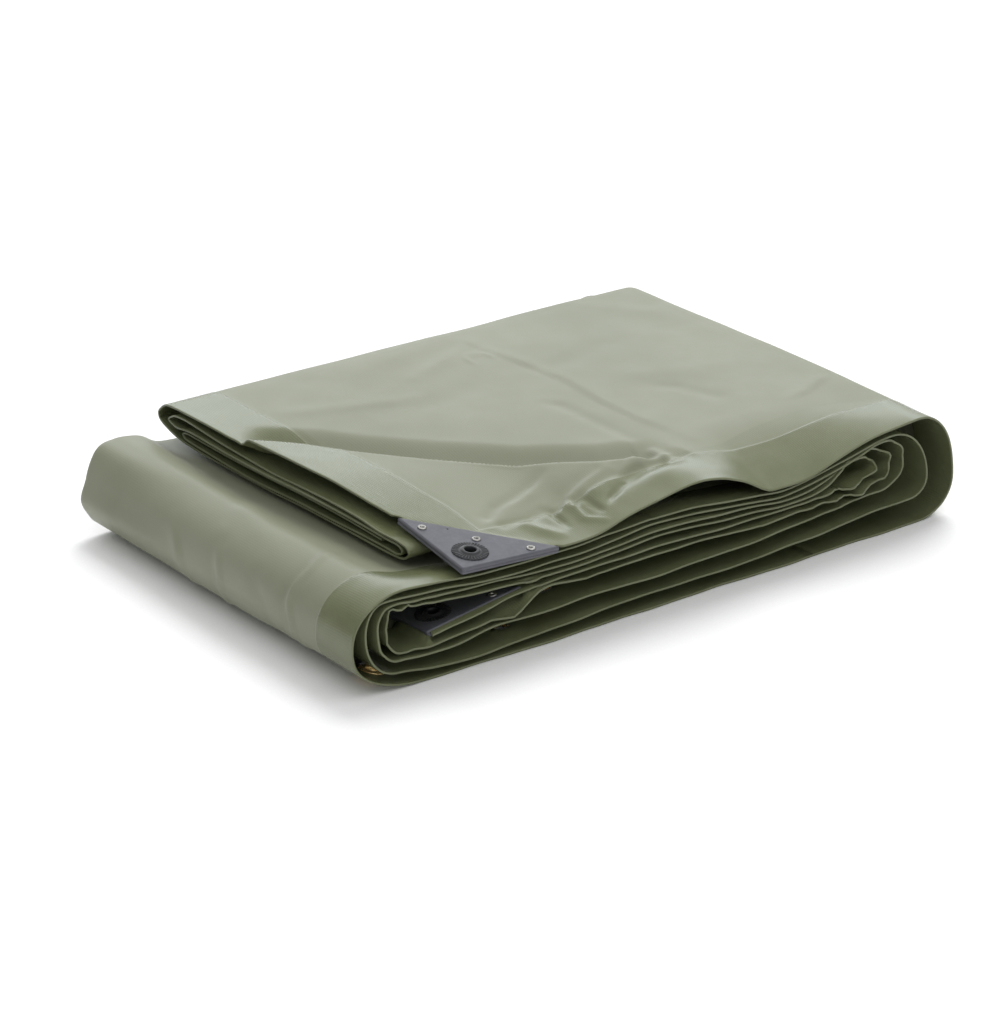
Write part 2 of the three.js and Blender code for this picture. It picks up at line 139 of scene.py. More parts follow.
def wave_node(tree, vector, scale, direction):
    inputs = {"Vector": vector, "Scale": scale}
    return add_node(tree, "ShaderNodeTexWave", inputs, wave_type="BANDS", bands_direction=direction)["Fac"]


def math_node(tree, kind, a, b):
    return add_node(tree, "ShaderNodeMath", {0: a, 1: b}, operation=kind)[0]


def mix_node(tree, factor, a, b):
    a, b = ((*colour, 1) if isinstance(colour, tuple) else colour for colour in (a, b))
    return add_node(tree, "ShaderNodeMix", {"Factor": factor, "A": a, "B": b}, data_type="RGBA")["Result"]


def range_node(tree, value, low, high, to_low, to_high):
    inputs = {"Value": value, "From Min": low, "From Max": high, "To Min": to_low, "To Max": to_high}
    return add_node(tree, "ShaderNodeMapRange", inputs)["Result"]


def bump_node(tree, height, strength, distance, normal=None):
    inputs = {"Height": height, "Strength": strength, "Distance": distance, "Normal": normal}
    return add_node(tree, "ShaderNodeBump", inputs)["Normal"]


def tint(tree, value, low, high, a, b, share=(0, 1)):
    """Goes from colour a to colour b by a share, as the value goes from low to high."""
    return mix_node(tree, range_node(tree, value, low, high, *share), a, b)


WEAVE_PITCH = 0.0025
# The scale at which a wave texture repeats once in a metre
WAVE_UNIT = math.pi / 10


def cloth_material():
    """The coated cloth: a woven base seen through a satin coat, glossier and greener on the hems, and painted
    darker as shade beside the top panel's front hem.
    """
    material, tree, shader, coords = new_material("coated_cloth")
    uv, place = coords["UV"], coords["Object"]
    # hem: the hem mark, which also carries painted shade beside the top panel's front hem.
    hem = add_node(tree, "ShaderNodeAttribute", {}, attribute_name="hem")["Fac"]
    warp, weft = (wave_node(tree, uv, WAVE_UNIT / WEAVE_PITCH, way) for way in "XY")
    weave = math_node(tree, "MULTIPLY", warp, weft)
    broad = noise_node(tree, place, 7.0, 3.0)
    cloud = noise_node(tree, place, 34.0, 3.0, 0.5)
    grain = noise_node(tree, uv, 900.0, 2.0)

    body = tint(tree, broad, 0.35, 0.65, (0.206, 0.217, 0.148), (0.232, 0.243, 0.172))
    body = tint(tree, cloud, 0.3, 0.7, body, (0.250, 0.262, 0.192), share=(0, 0.3))
    body = tint(tree, weave, 0.1, 0.9, body, (0.168, 0.180, 0.116), share=(0.16, 0))
    deep = tint(tree, cloud, 0.35, 0.65, (0.126, 0.141, 0.070), (0.140, 0.156, 0.082))
    # Towards deep: the hems' own darker green, and painted shade where the mark holds the wedge beside the
    # top panel's front hem.
    colour = mix_node(tree, hem, body, deep)

    shine = math_node(tree, "MULTIPLY", hem, -0.28)
    rough = math_node(tree, "ADD", range_node(tree, cloud, 0.3, 0.7, 0.47, 0.54), shine)

    depth = math_node(tree, "ADD", math_node(tree, "MULTIPLY", hem, 0.25), 0.4)
    threads = math_node(tree, "MULTIPLY", weave, depth)
    normal = bump_node(tree, threads, 0.6, 0.0003)
    normal = bump_node(tree, grain, 0.1, 0.0001, normal)
    calm = math_node(tree, "ADD", math_node(tree, "MULTIPLY", hem, -0.8), 1.0)
    normal = bump_node(tree, math_node(tree, "MULTIPLY", cloud, calm), 0.12, 0.0016, normal)
    set_inputs(shader, {
        "Base Color": colour, "Roughness": rough, "Normal": normal,
        "Specular IOR Level": 0.45, "Coat Weight": 0.1, "Coat Roughness": 0.3,
    })
    return material


def moulded_material(name, dark, light, wear, roughness):
    material, tree, shader, coords = new_material(name)
    place = coords["Object"]
    broad = noise_node(tree, place, 70.0, 4.0, 0.6)
    grain = noise_node(tree, place, 1600.0, 2.0)
    scuff = noise_node(tree, place, 260.0, 5.0, 0.7)
    base = tint(tree, broad, 0.35, 0.65, dark, light)
    base = tint(tree, scuff, 0.62, 0.78, base, wear, share=(0, 0.5))
    rough = range_node(tree, scuff, 0.3, 0.7, roughness - 0.06, roughness + 0.1)
    normal = bump_node(tree, broad, 0.2, 0.0004, bump_node(tree, grain, 0.25, 0.00008))
    set_inputs(shader, {"Base Color": base, "Roughness": rough, "Normal": normal})
    return material


def metal_material(name, dark, light, roughness, metallic=1.0):
    material, tree, shader, coords = new_material(name)
    place = coords["Object"]
    broad = noise_node(tree, place, 180.0, 4.0, 0.6)
    fine = noise_node(tree, place, 1500.0, 2.0)
    base = tint(tree, broad, 0.35, 0.7, light, dark)
    rough = range_node(tree, broad, 0.3, 0.7, roughness, roughness + 0.16)
    normal = bump_node(tree, fine, 0.2, 0.00005)
    set_inputs(shader, {"Base Color": base, "Roughness": rough, "Normal": normal, "Metallic": metallic})
    return material


def floor_material():
    material, tree, shader, coords = new_material("studio_floor")
    shade = noise_node(tree, coords["Object"], 400.0, 3.0)
    base = tint(tree, shade, 0.3, 0.7, (0.93, 0.93, 0.94), (0.96, 0.96, 0.96))
    set_inputs(shader, {"Base Color": base, "Roughness": 0.8})
    return material


CLOTH = cloth_material()
PLASTIC = moulded_material("plate_plastic", dark=(0.076, 0.078, 0.093), light=(0.094, 0.096, 0.113),
                           wear=(0.16, 0.16, 0.17), roughness=0.42)
RING = moulded_material("ring_plastic", dark=(0.016, 0.017, 0.019), light=(0.026, 0.027, 0.029),
                        wear=(0.05, 0.05, 0.05), roughness=0.36)
STEEL = metal_material("rivet_steel", dark=(0.38, 0.37, 0.35), light=(0.60, 0.59, 0.56), roughness=0.28)
BRASS = metal_material("eyelet_brass", dark=(0.90, 0.60, 0.22), light=(1.0, 0.78, 0.38), roughness=0.22,
                       metallic=0.7)


# Helpers on numbers
def smooth(low, high, value):
    t = np.clip((np.asarray(value, float) - low) / (high - low), 0, 1)
    return t * t * (3 - 2 * t)


def mix(a, b, t):
    return a + (b - a) * t


def through(points, knots, at, level=False):
    """A smooth curve through points at their knots. level keeps its tops and troughs at the points."""
    p, k = np.asarray(points, float), np.asarray(knots, float)
    slopes = np.gradient(p, k, axis=0)
    if level:
        flats = np.diff(p) / np.diff(k)
        slopes[1:-1][flats[:-1] * flats[1:] <= 0] = 0
    i = np.clip(np.searchsorted(k, at, side="right") - 1, 0, len(k) - 2)
    shape = at.shape + (1,) * (p.ndim - 1)
    h = (k[i + 1] - k[i]).reshape(shape)
    t = (at - k[i]).reshape(shape) / h
    rise = t * t * (3 - 2 * t)
    bends = t * (1 - t) ** 2 * slopes[i] - t * t * (1 - t) * slopes[i + 1]
    return mix(p[i], p[i + 1], rise) + h * bends


def curve(table, value):
    """A smooth line through rows of (place, height)."""
    xs, ys = np.array(table, float).T
    return through(ys, xs, np.clip(value, xs[0], xs[-1]), level=True)


# Points of a dense line from one given point to the next
PER_SPAN = 16


def rounded(points):
    """A centripetal spline through points, as a dense line."""
    p = np.asarray(points, float)
    p = np.vstack([2 * p[0] - p[1], p, 2 * p[-1] - p[-2]])
    knots = travelled(p, 0.5)
    out = []
    for i in range(1, len(p) - 2):
        p0, p1, p2, p3 = p[i - 1 : i + 3]
        k0, k1, k2, k3 = knots[i - 1 : i + 3]
        k = np.linspace(k1, k2, PER_SPAN, endpoint=False)[:, None]
        a1 = mix(p0, p1, (k - k0) / (k1 - k0))
        a2 = mix(p1, p2, (k - k1) / (k2 - k1))
        a3 = mix(p2, p3, (k - k2) / (k3 - k2))
        b1 = mix(a1, a2, (k - k0) / (k2 - k0))
        b2 = mix(a2, a3, (k - k1) / (k3 - k1))
        out.append(mix(b1, b2, (k - k1) / (k2 - k1)))
    out.append(p[-2][None])
    return np.vstack(out)


def travelled(line, power=1):
    """The length along a line up to each of its points, with each step raised to a power."""
    return np.concatenate([[0], np.cumsum(np.linalg.norm(np.diff(line, axis=0), axis=1) ** power)])


def spaced(line, step):
    """Where along a dense line the stations stand, step(x, z, s) apart, as shares of its points."""
    s = travelled(line)
    middle = (line[1:] + line[:-1]) / 2
    steps = [step(x, z, at) for (x, z), at in zip(middle, s)]
    count = np.concatenate([[0], np.cumsum(np.diff(s) / np.array(steps))])
    total = max(2, int(round(count[-1])))
    return np.interp(np.linspace(0, count[-1], total + 1), count, np.arange(len(line)))


def read_line(line, at):
    """The places on a dense line at shares of its points."""
    return np.stack([np.interp(at, np.arange(len(line)), line[:, k]) for k in (0, 1)], axis=1)


# The folded shape
# The cloth's thickness in its panel and at its hem, and the hem's width
PANEL, HEM, HEM_WIDTH = 1.3, 2.1, 57.0
PACK_DEPTH = 480.0

# Each flat turn's side (1 right, -1 left), the x that it reaches, the height of its tip, and the x and z
# where it starts above and below: side, reach, tip, top_x, top_z, low_x, low_z
TURNS = {
    "right1": (1, 737, 42, 688, 109, 690, 0),
    "left1": (-1, 3.5, 42, 62, 93, 88, 0),
    "right2": (1, 702, 47, 655, 99.5, 676, 26.5),
    "left2": (-1, 18, 54, 42, 86, 58, 13.5),
    "right3": (1, 671, 72, 640, 96, 632, 44.5),
    "left3": (-1, 30, 54, 46, 80.5, 55, 27.5),
    "right4": (1, 652, 71, 622, 92, 603, 49.5),
    "left4": (-1, 40, 52, 53, 75, 67, 31.5),
    "right5": (1, 633, 75, 598, 87, 592, 59.5),
}
TURN_ANGLES = (90, 76, 62, 48, 34, 17, 0, -16, -32, -47, -60, -72, -81, -90)
# How blunt a turn is: 1 is an ellipse
TURN_POWER = 0.91
# The runs between the turns: the x of each station, and each run's height at it
STATIONS = (92, 150, 199, 262, 362, 477, 515, 567)
# The least way from a station to the turn at either end of its run
RUN_GAP = 8
RUNS = {
    "floor": (0, 0, 0, 0, 0, 0, 0, 0),
    "outer_top": (91, 87, 84.5, 83.5, 89, 82, 77.5, 85),
    "second_low": (9.5, 8.5, 10, 12.5, 14.5, 16.5, 18.5, 20.5),
    "second_top": (84, 80, 77.5, 77, 83, 75.5, 72, 79.5),
    "third_low": (24, 24, 27, 30, 31.5, 34, 36, 38.5),
    "third_top": (78.5, 74.5, 72, 71.5, 76.5, 70, 67, 74),
    "fourth_low": (30.5, 37, 43.5, 48, 51, 48.8, 49.5, 50),
    "fourth_top": (73, 69.2, 66.8, 66.2, 70, 64.5, 62, 68.5),
    "inner_end": (38.7, 47.8, 55.2, 59, 58, 56, 56.3, 58.5),
}
# How far the layers are pressed together from front to back: y, share of the height
PRESS_MIDDLE = ((0, 1), (20, 1), (75, 0.87), (170, 0.83), (300, 0.78), (400, 0.77), (520, 0.78))
PRESS_LEFT = ((0, 1), (20, 1), (75, 0.97), (170, 0.95), (300, 0.93), (400, 0.93), (520, 0.93))
# Heights of the top panel: y and z along its left edge, x and z along its front edge
TOP_LEFT = ((2.7, 97.4), (112, 110.3), (150, 114.5), (195, 118), (250, 119.5), (300, 118.5), (480, 118.5))
TOP_FRONT = (
    (122.4, 97.4), (237.4, 92.9), (287, 95.5), (310, 100.5), (358, 106.5), (407, 111.5), (432, 108),
    (460, 98), (496, 81), (534, 82), (571, 90.5), (624, 101.5), (688, 109),
)
# The top panel's left edge in plan: y, x
TOP_EDGE = ((0, 125.6), (110, 129.4), (150, 125), (370, 112.5))
# Heights of the flat part of the top panel at the left, in the middle and at the right
PLATEAU = (111.5, 115.5, 112)
# The greatest height of the lifted flap
FLAP_TOP = 118.8

# The pleats under the flap, from the end of the curled back edge: y, z. The first point only gives the way.
PLEATS = (
    (501, 97), (499, 91), (480, 83), (456, 78.5),
    (400, 75.5), (300, 75.8), (249, 78.2), (173, 80), (95, 81.6),
    (79, 84), (71, 91), (74, 97), (86, 99.5),
    (118, 99.6), (154, 102.5), (249, 101), (305, 99), (372, 100.5), (456, 105),
    (472, 102.5), (481, 95.5), (467, 91),
    (441, 93.5), (372, 93), (305, 93.6), (249, 95.4), (173, 96), (106, 94.6),
    (88, 94.2), (83, 90.8), (89, 87.6),
    (110, 87), (173, 85.8), (249, 84), (305, 81.8), (372, 81.5), (440, 83.6),
    (451, 84.6), (456, 87), (450, 89),
    (430, 89), (372, 88), (305, 88.6), (249, 90), (173, 90.4), (116, 89.6),
)


def turn_line(name):
    """The points of a flat turn, in the order in which the sheet runs."""
    side, reach, tip, top_x, top_z, low_x, low_z = TURNS[name]
    line = []
    for angle in TURN_ANGLES:
        a = math.radians(angle)
        out = abs(math.cos(a)) ** TURN_POWER
        up = abs(math.sin(a)) ** TURN_POWER
        start_x, end_z = (top_x, top_z) if angle > 0 else (low_x, low_z)
        line.append((mix(start_x, reach, out), mix(tip, end_z, up)))
    return line if side > 0 else line[::-1]


def run_line(name, from_x, to_x):
    """The stations of a run that lie between two turns."""
    points = list(zip(STATIONS, RUNS[name]))
    if from_x > to_x:
        points.reverse()
    low, high = min(from_x, to_x) + RUN_GAP, max(from_x, to_x) - RUN_GAP
    return [p for p in points if low < p[0] < high]


# Each turn, the one after it, and the run between them
ROLL = (
    ("right1", "left1", "floor"), ("left1", "right2", "outer_top"), ("right2", "left2", "second_low"),
    ("left2", "right3", "second_top"), ("right3", "left3", "third_low"), ("left3", "right4", "third_top"),
    ("right4", "left4", "fourth_low"), ("left4", "right5", "fourth_top"), ("right5", None, "inner_end"),
)


def section():
    """The roll's line from the first right turn to the inner end, and the turn or run of each point."""
    line, owner = [], []
    for here, after, run in ROLL:
        # the column of low_x or top_x
        column = 5 if TURNS[here][0] > 0 else 3
        from_x, to_x = TURNS[here][column], TURNS[after][column] if after else 0
        turn, flat = turn_line(here), run_line(run, from_x, to_x)
        line += turn + flat
        owner += [here] * len(turn) + [run] * len(flat)
    return line, owner


# How far the front edge of a turn or run is crumpled
CRUMPLED = {"right3": 0.9, "right4": 3.4, "right5": 3.8, "left3": 0.6, "left4": 2.4, "fourth_low": 0.3}


def front_of_roll(x, z):
    return 2 + 9 * z / 95 + 5 * smooth(450, 640, x) * (1 - z / 110)


def back_of_roll(x, z):
    return 466 + 20 * z / 90 + 6 * np.sin(x / 90) + 10 * smooth(500, 700, x)


def right_rise(y):
    """The right end grows a little higher towards the back."""
    return 1 + 0.028 * y / PACK_DEPTH


def roll_points(x, z, y):
    """Points of the roll: its section pressed under the pleats."""
    middle, left = curve(PRESS_MIDDLE, y), curve(PRESS_LEFT, y)
    press = mix(mix(left, middle, smooth(50, 105, x)), right_rise(y), smooth(565, 645, x))
    height = z * press
    near_left = 1 - smooth(20, 135, x)
    beak = 7 * smooth(180, 470, y) * smooth(34, 58, height) * near_left
    heel = 11 * smooth(60, 200, y) * (1 - smooth(0, 26, height)) * (1 - smooth(15, 88, x))
    bulge = 5 * np.sin(np.pi * np.clip(y / PACK_DEPTH, 0, 1)) * smooth(610, 700, x)
    return np.stack([x + beak - heel + bulge, y, height], axis=-1)


def edge_wander(s, y):
    """Each layer's front edge wanders by itself: out and up."""
    near = (1 - smooth(0, 90, y)) * smooth(0, 90, s)
    out = 1.3 * np.sin(s / 61 + 0.7) + 0.8 * np.sin(s / 23 + 2.1) + 0.35 * np.sin(s / 9.3)
    up = 0.55 * np.sin(s / 47 + 1.9) + 0.35 * np.sin(s / 17 + 0.4)
    return near * out, near * up


def tent(t):
    """A folded line of period 1 between -1 and 1."""
    return 1 - 2 * np.abs((t % 1) * 2 - 1)


def crumple(s, y):
    """Sharp small folds that run in from the front edge."""
    run = s + 11 * np.sin(s / 37 + 1.3) + 5 * np.sin(s / 15.1)
    fan = run / 30 + 0.4 * np.sin(y / 17 + s / 40)
    small = run / 8.3 + y / 26
    size = 0.4 + 0.7 * np.sin(s / 29 + 0.6) ** 2
    return 0.85 * tent(fan) * size + 0.15 * tent(small) * (1 - smooth(0, 22, y))


# The top panel
# Its flap's ridge in plan, from the left edge to the arch at the front
RIDGE = np.array((
    (104, 352, 0), (128, 330, 0), (157, 302, 0), (184, 262, 0), (230, 206, 0), (266, 168, 0), (290, 141, 0),
    (326, 119, 0), (358, 96, 0), (400, 82, 0), (440, 76, 0),
), float)
RIDGE_SHARE = travelled(RIDGE) / travelled(RIDGE)[-1]


def nearest_on(line, values, points, normals):
    """For points: how far off a line they lie, seen along their normals, its value there, and the side."""
    best = np.full(points.shape[:-1], 1e9)
    value = side = np.zeros(best.shape)
    for i in range(len(line) - 1):
        d = line[i + 1] - line[i]
        t = np.clip(((points - line[i]) @ d) / (d @ d), 0, 1)
        off = points - line[i] - t[..., None] * d
        off -= (off * normals).sum(-1, keepdims=True) * normals
        far = np.linalg.norm(off, axis=-1)
        near = far < best
        best = np.where(near, far, best)
        value = np.where(near, mix(values[i], values[i + 1], t), value)
        turn = (np.cross(normals, d) * off).sum(-1)
        side = np.where(near, turn / (np.linalg.norm(d) * np.maximum(far, 1e-6)), side)
    return best, value, side


def front_of_top(x):
    left = 6 - 4.2 * np.clip((x - 125) / 115, 0, 1)
    return left + 8.9 * smooth(250, 400, x) - 6 * smooth(430, 500, x) + 6.3 * smooth(540, 640, x)


def back_of_top(x):
    return mix(502, 499, np.clip((x - 112) / 576, 0, 1))


def top_height(x, y):
    """The top panel's height: the flat rear, the valley and flap, and the front with its arch."""
    right = smooth(400, 688, x)
    plain = mix(mix(PLATEAU[0], PLATEAU[1], smooth(112, 400, x)), PLATEAU[2], right)
    away, along, side = nearest_on(RIDGE, RIDGE_SHARE, np.stack([x, y, 0 * x], -1), np.array((0.0, 0, 1)))
    behind = away * np.sign(side)
    fade = (1 - smooth(0.88, 1.0, along)) * smooth(0.0, 0.09, along)
    valley = 11.8 * smooth(0.5, 9, behind) * (1 - smooth(8, 50, behind)) * fade
    rear = plain - valley

    edge = curve(TOP_FRONT, x)
    flap = np.minimum(FLAP_TOP, curve(TOP_LEFT, y) + edge - TOP_FRONT[0][1])
    flap_part = mix(rear, flap, 1 - smooth(-3.5, 5.5, behind))
    rise = np.clip(y / 118, 0, 1)
    front_part = mix(edge, rear, 1 - (1 - rise) ** 1.9)
    height = mix(flap_part, front_part, smooth(375, 445, x))
    turn_top = TURNS["right1"][4] * right_rise(y)
    return mix(height, turn_top, smooth(600, 688, x) * smooth(0, 60, y))


# Creases of the outer cloth: a width, or one for each side where one is steeper, and rows of x, y, z, height
CREASES = (
    # the long diagonal crease of the top, with the short one that meets it
    ((13, 4), ((449, 435, 115, 0.2), (460, 351, 115, 0.9), (466, 297, 115, 0.9), (458, 221, 115, 0.8),
        (459, 162, 115, 0.6), (467, 98, 112, 0.2))),
    ((11, 5), ((449, 435, 115, 0.3), (400, 412, 115, 0.7), (345, 390, 115, 0.3))),
    # softer troughs and ridges of the top
    (2.8, ((419, 381, 115, 0), (417, 391, 115, 0.5), (421, 401, 115, 0.6), (431, 405, 115, 0.6),
        (441, 401, 115, 0.6), (445, 391, 115, 0.5), (441, 381, 115, 0))),
    (16, ((474, 330, 115, -0.9), (520, 342, 114, -0.7), (557, 353, 113, -0.4), (610, 345, 112, 0))),
    (9, ((405, 262, 115, 0), (417, 239, 115, -0.8), (418, 190, 115, -0.6), (420, 130, 114, -0.5))),
    (22, ((500, 290, 114, 0), (540, 260, 113, 0.7), (590, 240, 113, 0.7), (640, 235, 112, 0.2))),
    (10, ((520, 235, 114, 0), (545, 212, 113, -0.7), (562, 168, 113, -0.5), (566, 150, 113, 0))),
    (20, ((300, 430, 114, 0.2), (360, 445, 115, 0.9), (430, 460, 115, 0.6))),
    (15, ((560, 440, 113, 0), (621, 460, 112, 0.6), (668, 404, 111, 0.5), (690, 330, 111, 0))),
    (26, ((250, 330, 114, 0), (320, 320, 115, -0.9), (390, 330, 115, -0.5))),
    ((9, 7), ((600, 120, 109, 0), (640, 130, 110, 0.7), (680, 150, 110, 0.8))),
    (12, ((171, 400, 110, 0), (210, 380, 112, 0.6), (290, 350, 113, 0.5), (330, 345, 114, 0))),
    # folds that run back from the puckers of the front hem
    ((5, 9), ((342, 88, 113, -0.6), (318, 82, 111, -2.0), (293, 75, 106, -2.6), (276, 62, 102, -3.2))),
    (9, ((352, 82, 113, 0.5), (325, 76, 110, 1.6), (301, 69, 106, 1.8), (286, 60, 102, 1.4))),
    ((5, 9), ((376, 86, 114, -0.8), (357, 74, 113, -2.2), (325, 69, 109, -3.0), (306, 64, 106, -3.2),
        (293, 58, 103, -3.4))),
    (9, ((384, 80, 114, 0.8), (350, 66, 111, 1.8), (318, 59, 108, 1.8))),
    ((5, 8), ((300, 118, 109, -0.5), (278, 108, 107, -1.4), (253, 98, 105, -1.7), (227, 91, 104, -1.6),
        (209, 78, 103, -1.2))),
    (9, ((300, 106, 109, 0.3), (268, 95, 106, 1.4), (240, 86, 104, 1.4), (216, 70, 102, 0.6))),
    (7, ((262, 66, 102, -1.6), (240, 62, 101, -1.4), (212, 60, 100, -0.6))),
    # short tucks across the front hem
    ((3.2, 5), ((270, 62, 101, -1.0), (267, 52, 100, -3.4), (266, 40, 99, -2.4), (264, 30, 98, -0.6))),
    ((3, 6), ((291, 59, 102, 2.0), (287, 45, 101, 2.4), (285, 31, 98, 2.0), (297, 17, 99, 0.6))),
    ((3, 5), ((304, 54, 105, -0.8), (305, 43, 104, -2.4), (305, 32, 102, -1.4), (304, 24, 101, 0))),
    ((3.4, 5), ((318, 36, 105, -0.6), (326, 43, 107, -3.2), (336, 48, 109, -3.2), (348, 55, 110, -1.4))),
    (8, ((232, 50, 99, 0.8), (238, 34, 97, 1.8), (246, 22, 96, 1.2))),
    # the hollow behind the arch
    ((9, 15), ((338, 58, 109, -2.0), (356, 63, 112, -6.5), (385, 69, 113, -10.0), (412, 72, 113, -9.0),
        (432, 74, 111, -3.0), (444, 76, 110, 0))),
    (6, ((418, 96, 114, 1.2), (419, 84, 113, 2.4), (421, 70, 112, 1.6))),
    # the left end, with its crest at the back
    (15, ((36, 508, 80, 4.5), (36, 440, 80, 3.6), (44, 350, 82, 0))),
    (16, ((86, 508, 79, 5.5), (86, 450, 79, 4.2), (90, 370, 80, 0))),
    ((3, 8), ((96, 152, 77, 0), (64, 128, 82, 0.5), (32, 113, 84, 1.3), (12, 113, 67, 2.1),
        (9, 112, 57, 2.1), (5, 102, 39, 1.7), (14, 96, 18, 0.7))),
    (7, ((50, 130, 84, 0), (27, 121, 80, -0.8), (10, 121, 60, -1.1), (6, 112, 38, -0.8))),
    ((3, 8), ((28, 252, 78, 0.4), (10, 232, 57, 1.7), (4, 222, 41, 1.8), (19, 230, 13, 0.8))),
    (10, ((14, 242, 70, -0.9), (4, 236, 46, -1.2), (9, 232, 24, -0.8))),
    ((4, 10), ((16, 325, 68, 0.3), (8, 303, 49, 1.4), (8, 290, 32, 1.3), (22, 285, 10, 0.3))),
    (9, ((10, 172, 58, -0.6), (7, 158, 45, -1.2), (10, 146, 31, -0.9))),
    (12, ((90, 300, 75, 0), (60, 260, 80, 1.0), (45, 215, 82, 0.8), (40, 170, 84, 0))),
)


def stronger(height):
    """The shallow creases drawn out more than the deep ones."""
    return 0.72 * height + 1.1 * np.sign(height) * np.minimum(np.abs(height), 1)


# How far a crease reaches, in widths
CREASE_REACH = 3.2


def creased(points, normals):
    """How far the creases move points along their normals."""
    moved = np.zeros(points.shape[:-1])
    for widths, rows in CREASES:
        near_side, far_side = np.broadcast_to(widths, 2)
        rows = np.asarray(rows, float)
        line, reach = rows[:, :3], CREASE_REACH * np.max(widths)
        inside = np.all((points > line.min(0) - reach) & (points < line.max(0) + reach), axis=-1)
        if inside.any():
            far, height, side = nearest_on(line, stronger(rows[:, 3]), points[inside], normals[inside])
            width = mix(far_side, near_side, (1 + np.clip(side, -1, 1)) / 2)
            moved[inside] += height * np.exp(-((far / width) ** 2))
    return moved


def waves(points, amount):
    """Slow unevenness of the cloth."""
    x, y, z = points[..., 0], points[..., 1], points[..., 2]
    slow = np.sin(x / 63 + 0.9 * np.sin(y / 71)) * np.cos(y / 57 + 0.8 * np.sin((x + z) / 83))
    quick = np.sin(x / 21 + 1.4 * np.sin(y / 33 + z / 19)) * np.cos(y / 27 + 1.1 * np.sin(x / 37))
    return amount * (0.55 * slow + 0.22 * quick)


# Sheets of cloth
def unit(vectors):
    return vectors / np.maximum(np.linalg.norm(vectors, axis=-1, keepdims=True), 1e-9)


def cell_crosses(grid):
    """For each cell of a grid, a vector square to it and twice its area long."""
    return np.cross(grid[1:, 1:] - grid[:-1, :-1], grid[:-1, 1:] - grid[1:, :-1])


def grid_normals(grid):
    cell = unit(cell_crosses(grid))
    total = np.zeros_like(grid)
    for di in (0, 1):
        for dj in (0, 1):
            total[di : di + cell.shape[0], dj : dj + cell.shape[1]] += cell
    return unit(total)


# How a cut edge bulges across the thickness: share of the thickness, share out
CAP = ((0.12, 0.26), (0.32, 0.34), (0.5, 0.06), (0.68, 0.34), (0.88, 0.26))


class Sheet:
    """Gathers the faces of a closed sheet between an outer and an inner grid."""

    def __init__(self, outer, inner, flat, hem):
        self.under = hem.size
        self.ids = np.arange(self.under).reshape(hem.shape)
        self.points = [outer.reshape(-1, 3), inner.reshape(-1, 3)]
        self.flat = [flat.reshape(-1, 2)] * 2
        self.hem = [hem.reshape(-1)] * 2
        self.count = 2 * self.under
        self.faces, self.smooth = [], []

    def add(self, quads, smooth_face=True):
        self.faces.append(quads)
        self.smooth.append(np.full(len(quads), smooth_face))

    def cover(self, keep):
        ids = self.ids
        quads = np.stack([ids[:-1, :-1], ids[1:, :-1], ids[1:, 1:], ids[:-1, 1:]], axis=-1)
        keep = np.broadcast_to(keep, quads.shape[:2])
        self.add(quads[keep])
        self.add(quads[keep][:, ::-1] + self.under)
        # walls where a kept cell meets a hole
        m, n = keep.shape
        for i, j in zip(*np.nonzero(keep)):
            for side, (a, b) in enumerate(((i, j - 1), (i + 1, j), (i, j + 1), (i - 1, j))):
                if 0 <= a < m and 0 <= b < n and not keep[a, b]:
                    p, q = quads[i, j, side], quads[i, j, (side + 1) % 4]
                    self.add(np.array([[q, p, p + self.under, q + self.under]]), False)

    def strip(self, low, high, flip, smooth_face=True):
        quads = np.stack([low[:-1], low[1:], high[1:], high[:-1]], axis=1)
        self.add(quads[:, ::-1] if flip else quads, smooth_face)

    def close(self, line, way, flip, thick, joined):
        """The sheet's edge along a line of vertices, bulged, or plain where the next sheet joins on."""
        last = line
        if not joined:
            for share, bulge in CAP:
                level = mix(self.points[0][line], self.points[1][line], share)
                self.points.append(level + unit(way) * bulge * thick[:, None])
                self.flat.append(self.flat[0][line])
                self.hem.append(self.hem[0][line])
                fresh = np.arange(self.count, self.count + len(line))
                self.count += len(line)
                self.strip(last, fresh, flip)
                last = fresh
        self.strip(last, line + self.under, flip, not joined)


def new_piece(name, points, faces, smooth_faces, material):
    mesh = bpy.data.meshes.new(name)
    mesh.from_pydata(to_row(points).tolist(), [], faces)
    mesh.polygons.foreach_set("use_smooth", smooth_faces)
    mesh.materials.append(material)
    mesh.update()
    mesh.validate()
    piece = bpy.data.objects.new(name, mesh)
    bpy.context.collection.objects.link(piece)
    return piece


